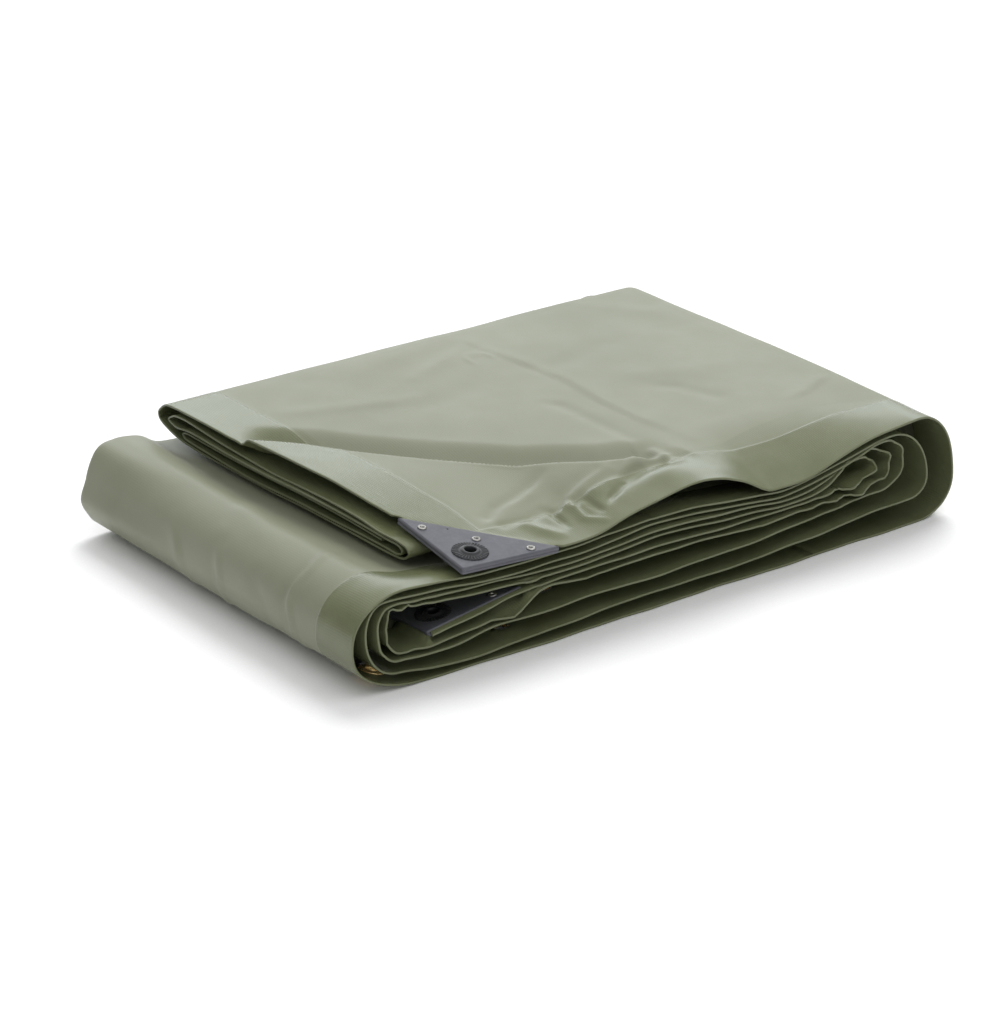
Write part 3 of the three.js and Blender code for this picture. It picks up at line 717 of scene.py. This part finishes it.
def sheet_piece(name, outer, thick, along, across, hem, keep=True, joined=()):
    """A closed sheet from its outer face. along and across are its own flat measures in mm."""
    flat = np.stack(np.broadcast_arrays(along, across), -1)
    inner = outer - grid_normals(outer) * thick[..., None]
    sheet = Sheet(outer, inner, flat / 1000.0, hem)
    sheet.cover(keep)
    ids = sheet.ids
    sheet.close(ids[:, 0], outer[:, 0] - outer[:, 1], True, thick[:, 0], "front" in joined)
    sheet.close(ids[:, -1], outer[:, -1] - outer[:, -2], False, thick[:, -1], "back" in joined)
    sheet.close(ids[0], outer[0] - outer[1], False, thick[0], "start" in joined)
    sheet.close(ids[-1], outer[-1] - outer[-2], True, thick[-1], "end" in joined)

    piece = new_piece(name, np.vstack(sheet.points), np.vstack(sheet.faces).tolist(),
                      np.concatenate(sheet.smooth), CLOTH)
    mesh = piece.data
    corner = np.empty(len(mesh.loops), dtype=np.int32)
    mesh.loops.foreach_get("vertex_index", corner)
    places = np.vstack(sheet.flat)[corner].reshape(-1).astype(np.float32)
    mesh.uv_layers.new(name="cloth").data.foreach_set("uv", places)
    # The hem mark; on the top panel it also holds the darker strips past the weld lines, with a wedge of
    # painted shade behind the front hem.
    mark = mesh.attributes.new("hem", "FLOAT", "POINT").data
    mark.foreach_set("value", np.concatenate(sheet.hem).astype(np.float32))
    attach(piece, "root")
    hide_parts("tarp_cloth")


def hem_step(distance):
    """The weld line of a hem: raised cloth up to the hem's width."""
    return 1 - smooth(HEM_WIDTH - 0.8, HEM_WIDTH + 0.8, distance)


def dark_strip_past_weld(distance, width):
    """A darker strip just past a hem's weld line; where it is widened behind the front hem, it is painted
    shade.
    """
    end = HEM_WIDTH + width
    return 0.42 * smooth(HEM_WIDTH - 2, HEM_WIDTH, distance) * (1 - smooth(end - 3, end, distance))


# Seats of the plates and eyelets in the cloth: origin, way to the right, way to the back
def seat_at(origin, right, back):
    x = unit(np.array(right, float))
    up = unit(np.cross(x, back))
    return np.array(origin, float), np.stack([x, np.cross(up, x), up])


CORNERS = (
    seat_at((122.4, 2.7, 97.4 - HEM / 2), (111.6, -4.05, -4.9), (4, 112.1, 13.1)),
    seat_at((90, 12, 39.5), (109, 0, 17), (0, 1, -0.055)),
)
EYELETS = (
    seat_at((44, 36, 7.2), (30.6, 0, -8.5), (0, 1, 0)),
    seat_at((191, 36, 10.4), (1, 0, 0.03), (0, 1, -0.023)),
    seat_at((249, 46, 28.7), (1, 0, 0.045), (0, 1, -0.069)),
)
PLATE_LEG, PLATE_HALF = 111.0, 3.6
RING_SPOT, RING_BORE, EYELET_BORE = (25.0, 25.0), 9.9, 8.0
# How far off a seat's plane its cloth lies at most, and the cells of its hole
SEAT_REACH, HOLE_REACH = 9, 4


def settle(outer, thick, seat, outside, reach, side):
    """Lays the cloth near a seat flat on it, where outside(a, b) is nothing, fading out over reach."""
    origin, axes = seat
    local = (outer - origin) @ axes.T
    a, b, c = local[..., 0], local[..., 1], local[..., 2]
    weight = (1 - smooth(0, reach, outside(a, b))) * (np.abs(c) < SEAT_REACH)
    local[..., 2] = mix(c, side * thick / 2, weight)
    return mix(outer, origin + local @ axes, weight[..., None]), local, weight


def around_hole(local, centre, bore):
    """The cells of a sheet that stay when a hole is cut."""
    middle = (local[1:, 1:] + local[:-1, :-1]) / 2
    away = np.hypot(middle[..., 0] - centre[0], middle[..., 1] - centre[1])
    return (away > bore) | (np.abs(middle[..., 2]) > HOLE_REACH)


def outside_plate(a, b):
    return np.maximum(np.maximum(-a, -b), (a + b - PLATE_LEG) / math.sqrt(2))


def tuck_in(outer, thick, seat, side):
    """The cloth's corner inside a corner plate, with the ring's hole left out."""
    moved, local, weight = settle(outer, thick, seat, outside_plate, 9.0, side)
    # the two edges are drawn in, so that they end inside the plate
    for k in (0, 1):
        v = local[..., k]
        local[..., k] = np.where(v < 12, 3.2 + (v + 4) * 0.55, v)
    inset = smooth(0.35, 1, weight)[..., None]
    moved = mix(moved, seat[0] + local @ seat[1], inset)
    return moved, around_hole(local, RING_SPOT, RING_BORE)


def press_eyelet(outer, thick, seat, side):
    """The cloth flat between an eyelet's flanges, with its hole left out."""
    moved, local, _ = settle(outer, thick, seat, lambda a, b: np.hypot(a, b) - 15, 14.0, side)
    return moved, around_hole(local, (0, 0), EYELET_BORE)


# The roll's line, its stations, and where the cloth is split into pieces
LINE, OWNER = section()
LINE = rounded(LINE)


def station_step(x, z, s):
    """How far apart the stations stand: closer in the turns."""
    if s < 190:
        return 3.0
    if z < 6 and 130 < x < 640:
        return 12.0
    if s < 1500:
        return 3.2 if x < 130 else 7.0
    return 4.0 if x < 110 or x > 570 else 8.0


STATION_AT = spaced(LINE, station_step)
STATION = read_line(LINE, STATION_AT)
STATION_S = np.interp(STATION_AT, np.arange(len(LINE)), travelled(LINE))
STATION_OWNER = np.array([OWNER[min(int(at / PER_SPAN), len(OWNER) - 1)] for at in STATION_AT])
# How far each station is crumpled, evened out over its neighbours
CRUSH_SPAN = 5
CRUSH = np.pad([CRUMPLED.get(owner, 0.0) for owner in STATION_OWNER], CRUSH_SPAN, mode="edge")
CRUSH = np.convolve(CRUSH, np.ones(2 * CRUSH_SPAN + 1) / (2 * CRUSH_SPAN + 1), "valid")
FLOOR_SPLIT = int(np.argmax((STATION_OWNER == "floor") & (STATION[:, 0] < 560)))
TOP_SPLIT = int(np.argmax((STATION_OWNER == "outer_top") & (STATION[:, 0] > 350)))

# Flat distances from the front edge: up to the first they are true depths, and the curl starts at the second
D_FRONT, D_SEAM = 132.0, 461.0
PANEL_LEFT = 112.5
# The curl of the back edge on the top panel, and on the turn where it fades out
CURL_DEPTH, CURL_DEPTH_TURN, CURL_FADE = 38.0, 14, 39
# Shares of its depth on the panel and on the turn, how far down, height on the panel's left and middle
CURL = ((0.79, 0.3, 7, 105), (0.97, 0.65, 15, 97), (0.92, 1.0, 21, 91), (0.5, 1.35, 28, 83))
CURL_LEAD = 30
CURL_KNOTS = (-CURL_LEAD, 0, 33, 43, 50, 71)
CURL_PLACES = np.array((5, 11, 17, 22, 26, 30, 33.5, 36.5, 39.5, 42.5, 46, 50))


def hem_rows(start, step):
    """Flat distances over a hem: close at its edge and its weld line."""
    return [0, 1.2, 3, *np.arange(start, 54, step), 55.5, 56.6, 57.6, 59]


def row_y(d, front, seam):
    """Depths for flat distances from the front edge."""
    share = (d - D_FRONT) / (D_SEAM - D_FRONT)
    return np.where(d < D_FRONT, front + d, mix(front + D_FRONT, seam, share))


def roll_part(first, last, d, seam=lambda x, z, s: back_of_roll(x, z)):
    """The roll's outer face from one station to another, up to its seam at the back."""
    x, z = STATION[first:last, :1], STATION[first:last, 1:]
    s = STATION_S[first:last, None]
    y = row_y(d, front_of_roll(x, z), seam(x, z, s))
    out, up = edge_wander(s, d)
    points = roll_points(x, z, y)
    points[..., 1] += out
    points[..., 2] += up * smooth(2, 9, z)
    return points, s


def relief(points, hem, d):
    """Adds what the cloth has beside its plain form: creases, waves and the hem's step."""
    normals = grid_normals(points)
    above_floor = smooth(3, 12, points[..., 2])
    height = creased(points, normals) + waves(points, 1.0) * above_floor * smooth(0, 25, d)
    return points + normals * (height + 0.5 * hem * above_floor)[..., None]


def curl_fade(s):
    return np.clip(s / CURL_FADE, 0, 1)


def curl_depth(s):
    return mix(CURL_DEPTH, CURL_DEPTH_TURN, curl_fade(s))


def turn_seam(x, z, s):
    """The seam before the curl along the first right turn."""
    return mix(back_of_top(x), back_of_roll(x, z), curl_fade(s)) - curl_depth(s)


def curl_rows(places):
    return np.moveaxis(through(places, CURL_KNOTS, CURL_PLACES), 0, 1)


def top_grid(u, d):
    """The top panel with its curled back edge."""
    x0 = PANEL_LEFT + u
    seam = back_of_top(x0) - CURL_DEPTH
    y = row_y(d, front_of_top(x0)[:, None], seam[:, None])
    lean = (np.interp(y, *zip(*TOP_EDGE)) - PANEL_LEFT) * (1 - smooth(60, 220, u))[:, None]
    x = x0[:, None] + lean
    places = [np.stack([x0, at, top_height(x0, at)], -1) for at in (seam - CURL_LEAD, seam)]
    seam_z, right = places[1][:, 2], smooth(500, 600, x0)
    for out, _, down, height in CURL:
        places.append(np.stack([x0, seam + out * CURL_DEPTH, mix(height, seam_z - down, right)], -1))
    return np.concatenate([np.stack([x, y, top_height(x, y)], axis=-1), curl_rows(places)], axis=1)


def turn_grid(d):
    """The first right turn, along which the curl of the back edge fades out."""
    end = FLOOR_SPLIT + 1
    turn, s = roll_part(0, end, d, turn_seam)
    x, z = STATION[:end, :1], STATION[:end, 1:]
    lead = -CURL_LEAD / CURL_DEPTH
    places = []
    for out, out_turn, down in ((lead, lead, 0), (0, 0, 0), *(row[:3] for row in CURL)):
        at = turn_seam(x, z, s) + mix(out, out_turn, curl_fade(s)) * curl_depth(s)
        point = roll_points(x, z, at)
        point[..., 2] -= down * (1 - curl_fade(s))
        places.append(point[:, 0])
    return np.concatenate([turn, curl_rows(places)], axis=1), s[:, 0]


def make_top():
    """The top panel with its flap, and the first right turn."""
    edge = hem_rows(5.5, 2.6)
    d = np.array([*edge, *np.arange(61.5, 131, 2.6), *np.arange(D_FRONT, 362, 3.3),
                  *np.arange(366, D_SEAM - 4, 7), D_SEAM])
    u = np.array([*edge, *np.arange(61.5, 338, 2.6), *np.arange(341, 572, 4.5)])
    turn, s = turn_grid(d)
    outer = np.concatenate([top_grid(u, d), turn[1:]], axis=0)
    along = np.concatenate([u, u[-1] + 3 + s[1:]])[:, None]
    across = np.concatenate([d, D_SEAM + CURL_PLACES])[None, :]

    hem = np.maximum(hem_step(along), hem_step(across))
    outer = relief(outer, hem, across)
    thick = mix(PANEL, HEM, hem)
    outer, keep = tuck_in(outer, thick, CORNERS[0], 1)
    # Darker strips past the hems' weld lines, given to the material through the hem mark; beside the front
    # hem the strip widens into a wedge that is painted shade.
    strip_and_shade_width = 9 + 20 * smooth(330, 450, along) * (1 - smooth(500, 590, along))
    strips_and_painted_shade = np.maximum(dark_strip_past_weld(along, 9), dark_strip_past_weld(across, strip_and_shade_width))
    sheet_piece("tarp_top", outer, thick, along, across, np.maximum(hem, strips_and_painted_shade), keep, ("end", "back"))
    return outer[: len(u), -1], u


def make_wrap():
    """The floor run, the first left turn and the run over it."""
    d = np.array([*hem_rows(6, 3), *np.arange(62, 131, 3.6), *np.arange(D_FRONT, 380, 4.6),
                  *np.arange(384, D_SEAM, 8), D_SEAM])
    points, s = roll_part(FLOOR_SPLIT, TOP_SPLIT + 1, d)
    hem = hem_step(d) * np.ones_like(s)
    thick = mix(PANEL, HEM, hem)
    outer, keep = press_eyelet(relief(points, hem, d), thick, EYELETS[0], -1)
    sheet_piece("tarp_wrap", outer, thick, s, d, hem, keep, ("start", "end"))


def make_roll():
    """The inner turns, from the run over the first left turn to the inner end."""
    d = np.array([0, 1.2, 3, *np.arange(6, 54, 4), 55.5, 57.6, 60, 66, 75, 90, 110, D_FRONT, 165, 200,
                  250, 300, 350, 390, 420, 440, 450, 457, D_SEAM])
    points, s = roll_part(TOP_SPLIT, len(STATION), d)
    hem = hem_step(d) * np.ones_like(s)
    fold = CRUSH[TOP_SPLIT:][:, None] * (1 - smooth(8, 75, d))
    height = waves(points, 0.5) * smooth(0, 40, d) + fold * crumple(s, d)
    outer = points + grid_normals(points) * height[..., None]
    outer[..., 1] += 0.9 * fold * tent(s / 31 + 0.3)
    part_layers(outer)
    thick = mix(PANEL, HEM, hem)
    outer, keep = tuck_in(outer, thick, CORNERS[1], 1)
    for seat in EYELETS[1:]:
        outer, around = press_eyelet(outer, thick, seat, 1)
        keep = keep & around
    sheet_piece("tarp_roll", outer, thick, s, d, hem, keep, ("start",))


# Where a run's front edge stands off, to show the eyelets under it: x, half width, how far up
PARTED = {"third_low": (162, 34, 5.5), "fourth_low": (222, 34, 8.5)}
# The corner that hangs down under the second plate: x, half width, how far down, how far out
DOG_EAR = (183, 26, 7.5, 3.0)


def part_layers(outer):
    """Raises the fronts of two runs of the roll, and bends the dog-ear of one."""
    x, y = outer[..., 0], outer[..., 1]
    owners = STATION_OWNER[TOP_SPLIT:, None]
    for run, (middle, half, up) in PARTED.items():
        near = np.exp(-(((x - middle) / half) ** 2)) * (1 - smooth(8, 70, y))
        outer[..., 2] += up * near * (owners == run)
    middle, half, down, out = DOG_EAR
    ear = np.clip(1 - np.abs(x - middle) / half, 0, 1) * (1 - smooth(6, 28, y)) * (owners == "fourth_low")
    outer[..., 2] -= down * ear
    outer[..., 1] -= out * ear


# Where the pleats end at the right, and the depth behind which they follow the panel's back edge
PLEATS_END, PLEATS_DRAWN = 448, 70


def make_pleats(edge, top_u):
    """The pleats under the top panel, from the end of its curl."""
    pick = [i for i, v in enumerate(top_u) if v < PLEATS_END and (v < 64 or i % 3 == 0)]
    u, edge = top_u[pick][:, None], edge[pick]
    x0 = PANEL_LEFT + u
    line = rounded(PLEATS)[PER_SPAN:]
    line = read_line(line, spaced(line, lambda y, z, s: 3.0 if y < 125 or y > 430 else 9.0))
    s = travelled(line)
    y, z = line.T
    drawn = (back_of_top(x0) - PLEATS_DRAWN) / (back_of_top(112) - PLEATS_DRAWN)
    y = PLEATS_DRAWN + (y - PLEATS_DRAWN) * mix(1, drawn, np.clip((y - PLEATS_DRAWN) / 100, 0, 1))
    stagger = 1.6 * np.sin(s / 240 + 0.5) + 1.1 * np.sin(s / 91)
    x = x0 + stagger * smooth(40, 120, s) * (1 - smooth(20, 120, u))
    z = z + 0.4 * np.sin(y / 37 + s / 50) * smooth(40, 120, s) * np.sin(x / 29) * (1 - smooth(0, 90, u))
    outer = np.stack([x, y, z], axis=-1)
    outer += (edge - outer[:, 0])[:, None] * (1 - smooth(0, 45, s))[:, None]
    hem = hem_step(u) * np.ones_like(s)
    across = D_SEAM + CURL_PLACES[-1] + s
    sheet_piece("tarp_pleats", outer, mix(PANEL, HEM, hem), u, across, hem, joined=("front",))


top_edge, top_stations = make_top()
make_wrap()
make_roll()
make_pleats(top_edge, top_stations)


# Plates, rings, rivets and eyelets
def hard_piece(name, points, faces, smooth_faces, seat, material, slot, node):
    origin, axes = seat
    points = np.asarray(points, float) @ axes + origin
    piece = new_piece(name, points, faces, np.array(smooth_faces, bool), material)
    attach(piece, "root")
    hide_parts(node)


def round_piece(name, profile, sides, centre, seat, material, slot, node, wobble=None):
    """A closed profile of (radius, height) turned about an axis. wobble changes a point by its angle."""
    points, faces = [], []
    for r, z in profile:
        for a in np.arange(sides) * 2 * math.pi / sides:
            rr, zz = wobble(r, z, a) if wobble else (r, z)
            points.append((centre[0] + rr * math.cos(a), centre[1] + rr * math.sin(a), zz))
    for i in range(len(profile)):
        for j in range(sides):
            k, l = (i + 1) % len(profile), (j + 1) % sides
            faces.append((i * sides + j, i * sides + l, k * sides + l, k * sides + j))
    hard_piece(name, points, faces, [True] * len(faces), seat, material, slot, node)


CORNER_RADII = (3.0, 1.2, 1.6, 1.6, 1.2)


def plate_outline():
    """The plate's outline with rounded corners, counter-clockwise."""
    leg, slant = PLATE_LEG - 3, (PLATE_LEG - 4.4, 3.4)
    corners = np.array([(0, 0), (leg, 0), slant, slant[::-1], (0, leg)], float)
    line = []
    for i, radius in enumerate(CORNER_RADII):
        p = corners[i]
        start, end = (p + unit(corners[k % 5] - p) * radius for k in (i - 1, i + 1))
        for t in np.linspace(0, 1, 6):
            line.append((1 - t) ** 2 * start + 2 * t * (1 - t) * p + t * t * end)
    return np.array(line)


# The plate's side from its lower face to its upper one: inset, height
PLATE_SIDE = ((1.5, -PLATE_HALF), (0.4, -3.0), (0.0, -2.2), (0.0, -0.7), (0.45, -0.45), (0.45, -0.1),
              (0.0, 0.15), (0.0, 2.1), (0.25, 2.75), (1.35, 3.5), (1.8, PLATE_HALF))
RIVET_SPOTS = ((10, 82), (44, 43), (81, 8))
# The plate's hole for the ring, and the small moulded dot beside a rivet
HOLE_RADIUS, HOLE_SIDES = 9.5, 40
DOT_SPOT, DOT_TOP, DOT_BOTTOM, DOT_FLOOR, DOT_SIDES = (30.5, 70.5), 0.9, 0.5, 2.7, 12


def circle(x, y, radius, count):
    angles = np.arange(count) * 2 * math.pi / count
    return np.stack([x + radius * np.cos(angles), y + radius * np.sin(angles)], -1)


def plate_mesh():
    """A corner plate of two leaves, with the ring's hole and the dot in its upper face."""
    outline = plate_outline()
    count = len(outline)
    turn = unit(unit(np.roll(outline, -1, 0) - outline) + unit(outline - np.roll(outline, 1, 0)))
    inward = np.stack([-turn[:, 1], turn[:, 0]], -1)
    points, faces, smooths = [], [], []
    for inset, height in PLATE_SIDE:
        points += [(*(p + n * inset), height) for p, n in zip(outline, inward)]
    for k in range(len(PLATE_SIDE) - 1):
        for j in range(count):
            a, b = k * count + j, k * count + (j + 1) % count
            faces.append((a, b, b + count, a + count))
            smooths.append(True)
    hole = circle(*RING_SPOT, HOLE_RADIUS, HOLE_SIDES)
    dot = circle(*DOT_SPOT, DOT_TOP, DOT_SIDES)

    def lid(first, height, holes, up):
        """A face inside the ring of points that starts at first. Returns the points of its holes."""
        places = list(range(first, first + count))
        loops = [[Vector((*points[i][:2], 0)) for i in places]]
        for loop in holes:
            start = len(points)
            points.extend((x, y, height) for x, y in loop)
            places += range(start, start + len(loop))
            loops.append([Vector((x, y, 0)) for x, y in loop])
        for tri in tessellate_polygon(loops):
            a, b, c = (Vector(points[places[i]][:2]) for i in tri)
            if ((b - a).cross(c - a) > 0) != up:
                tri = tri[::-1]
            faces.append(tuple(places[i] for i in tri))
            smooths.append(False)
        return places[count:]

    def bore(high, low):
        for j in range(len(high)):
            k = (j + 1) % len(high)
            faces.append((high[j], low[j], low[k], high[k]))
            smooths.append(True)

    top_holes = lid(len(points) - count, PLATE_HALF, (hole, dot), True)
    bore(top_holes[:HOLE_SIDES], lid(0, -PLATE_HALF, (hole,), False))
    dot_floor = range(len(points), len(points) + DOT_SIDES)
    points.extend((x, y, DOT_FLOOR) for x, y in circle(*DOT_SPOT, DOT_BOTTOM, DOT_SIDES))
    bore(top_holes[HOLE_SIDES:], dot_floor)
    faces.append(tuple(dot_floor))
    smooths.append(False)
    return points, faces, smooths


# Closed profiles: radius, height above the cloth's middle
RING_PROFILE = (
    (5.6, -4.6), (5.6, 5.3), (5.8, 5.9), (6.3, 6.2), (7.1, 6.3), (8.0, 6.15), (8.7, 5.7), (9.2, 5.2),
    (9.8, 4.85), (10.6, 4.8), (11.4, 5.0), (12.6, 5.05), (14.0, 5.05), (15.4, 5.0), (16.4, 4.85),
    (17.1, 4.6), (17.4, 4.2), (17.3, 3.9), (9.2, 3.9), (9.2, -3.9), (13.2, -3.9), (13.4, -4.3),
    (12.8, -5.0), (6.6, -5.1), (5.9, -4.95),
)
RIVET_PROFILE = (
    (1.7, -4.7), (1.7, 3.6), (2.0, 4.3), (2.35, 4.85), (2.8, 5.1), (3.4, 5.0), (4.1, 4.5), (4.4, 4.0),
    (4.3, 3.9), (2.3, 3.9), (2.3, -3.9), (4.3, -3.9), (4.4, -4.1), (3.9, -4.6), (3.0, -4.95), (2.2, -4.9),
)
EYELET_HALF = (
    (7.2, 1.35), (12.2, 1.38), (12.9, 1.5), (13.0, 1.85), (12.6, 2.3), (12.0, 2.45), (11.3, 2.3), (10.7, 2.0),
    (10.1, 1.95), (9.3, 2.35), (8.4, 2.75), (7.4, 2.8), (6.6, 2.45), (6.2, 1.7),
)
GROOVES = 32


def grooved(r, z, a):
    """Radial grooves in the upper face of the ring's flange."""
    if z < 4.1 or r < 10.4:
        return r, z
    cut = smooth(-0.1, 0.6, math.cos(GROOVES * a)) * smooth(10.6, 11.6, r)
    return r - 0.9 * cut * smooth(15.2, 17.2, r), z - 1.1 * cut * (1 - smooth(17.0, 17.35, r))


for number, seat in enumerate(CORNERS, 1):
    hard_piece(f"plate_{number}", *plate_mesh(), seat, PLASTIC, "plate", f"corner_plate_{number}")
    round_piece(f"ring_{number}", RING_PROFILE, GROOVES * 6, RING_SPOT, seat, RING, "ring",
                f"corner_ring_{number}", grooved)
    for k, spot in enumerate(RIVET_SPOTS, 1):
        name = f"rivet_{number}_{k}"
        round_piece(name, RIVET_PROFILE, 32, spot, seat, STEEL, "steel", f"corner_{name}")
EYELET_PROFILE = (*EYELET_HALF[::-1], *((r, -z) for r, z in EYELET_HALF))
for number, seat in enumerate(EYELETS, 1):
    round_piece(f"brass_{number}", EYELET_PROFILE, 64, (0, 0), seat, BRASS, "brass", f"eyelet_{number}")

# Floor
FLOOR_HALF, FLOOR_Z = 8000, -0.0004
floor_corners = FLOOR_HALF * np.array([(-1, -1, 0), (1, -1, 0), (1, 1, 0), (-1, 1, 0)]) + SHIFT
floor = new_piece("floor", floor_corners, [(0, 1, 2, 3)], [False], floor_material())
floor.location.z = FLOOR_Z
